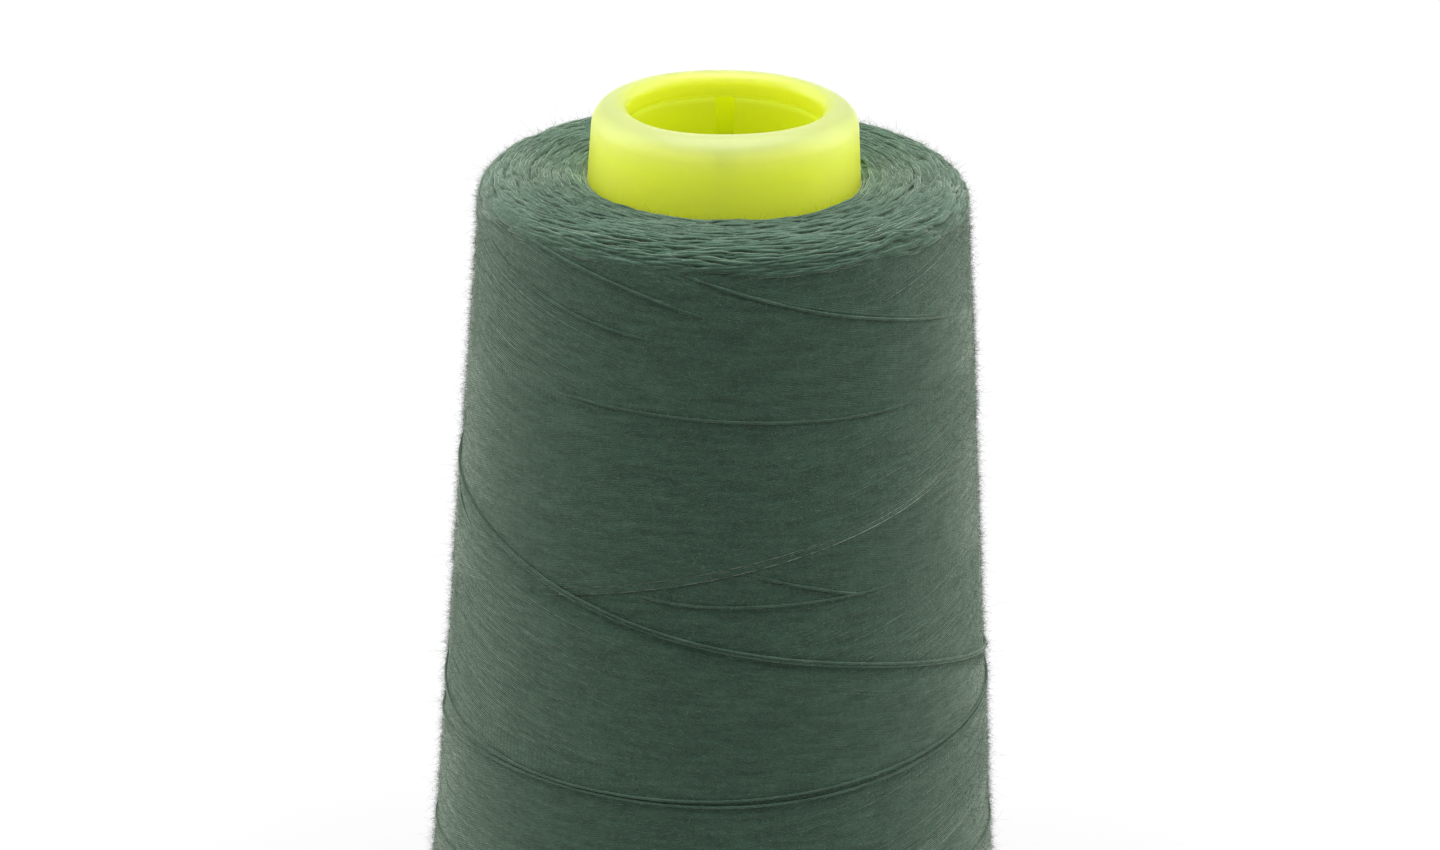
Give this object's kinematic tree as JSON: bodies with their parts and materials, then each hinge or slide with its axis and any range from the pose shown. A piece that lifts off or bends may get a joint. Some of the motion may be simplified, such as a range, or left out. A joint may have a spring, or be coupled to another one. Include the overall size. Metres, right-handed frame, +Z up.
{
  "type": "spool of thread",
  "caption": "Tapered plastic core with a rounded bored collar and a rolled foot, carrying a cross-wound package of sewing thread.",
  "frame": {"origin": "centre of the foot, on the surface that the spool stands on", "axes": "+Z runs up the core's axis from the foot to the collar; +Y points from the viewer to the back, where one key slot of the bore lies"},
  "size_m": [0.0627, 0.0629, 0.11],
  "materials": {
    "core_plastic": "satin lime polypropylene, slightly translucent",
    "thread": "spun polyester thread, dull grey-green, slightly hairy"
  },
  "bodies": {
    "root": {"core": "core_plastic", "thread_package": "thread", "outer_thread": "thread"}
  },
  "joints": []
}
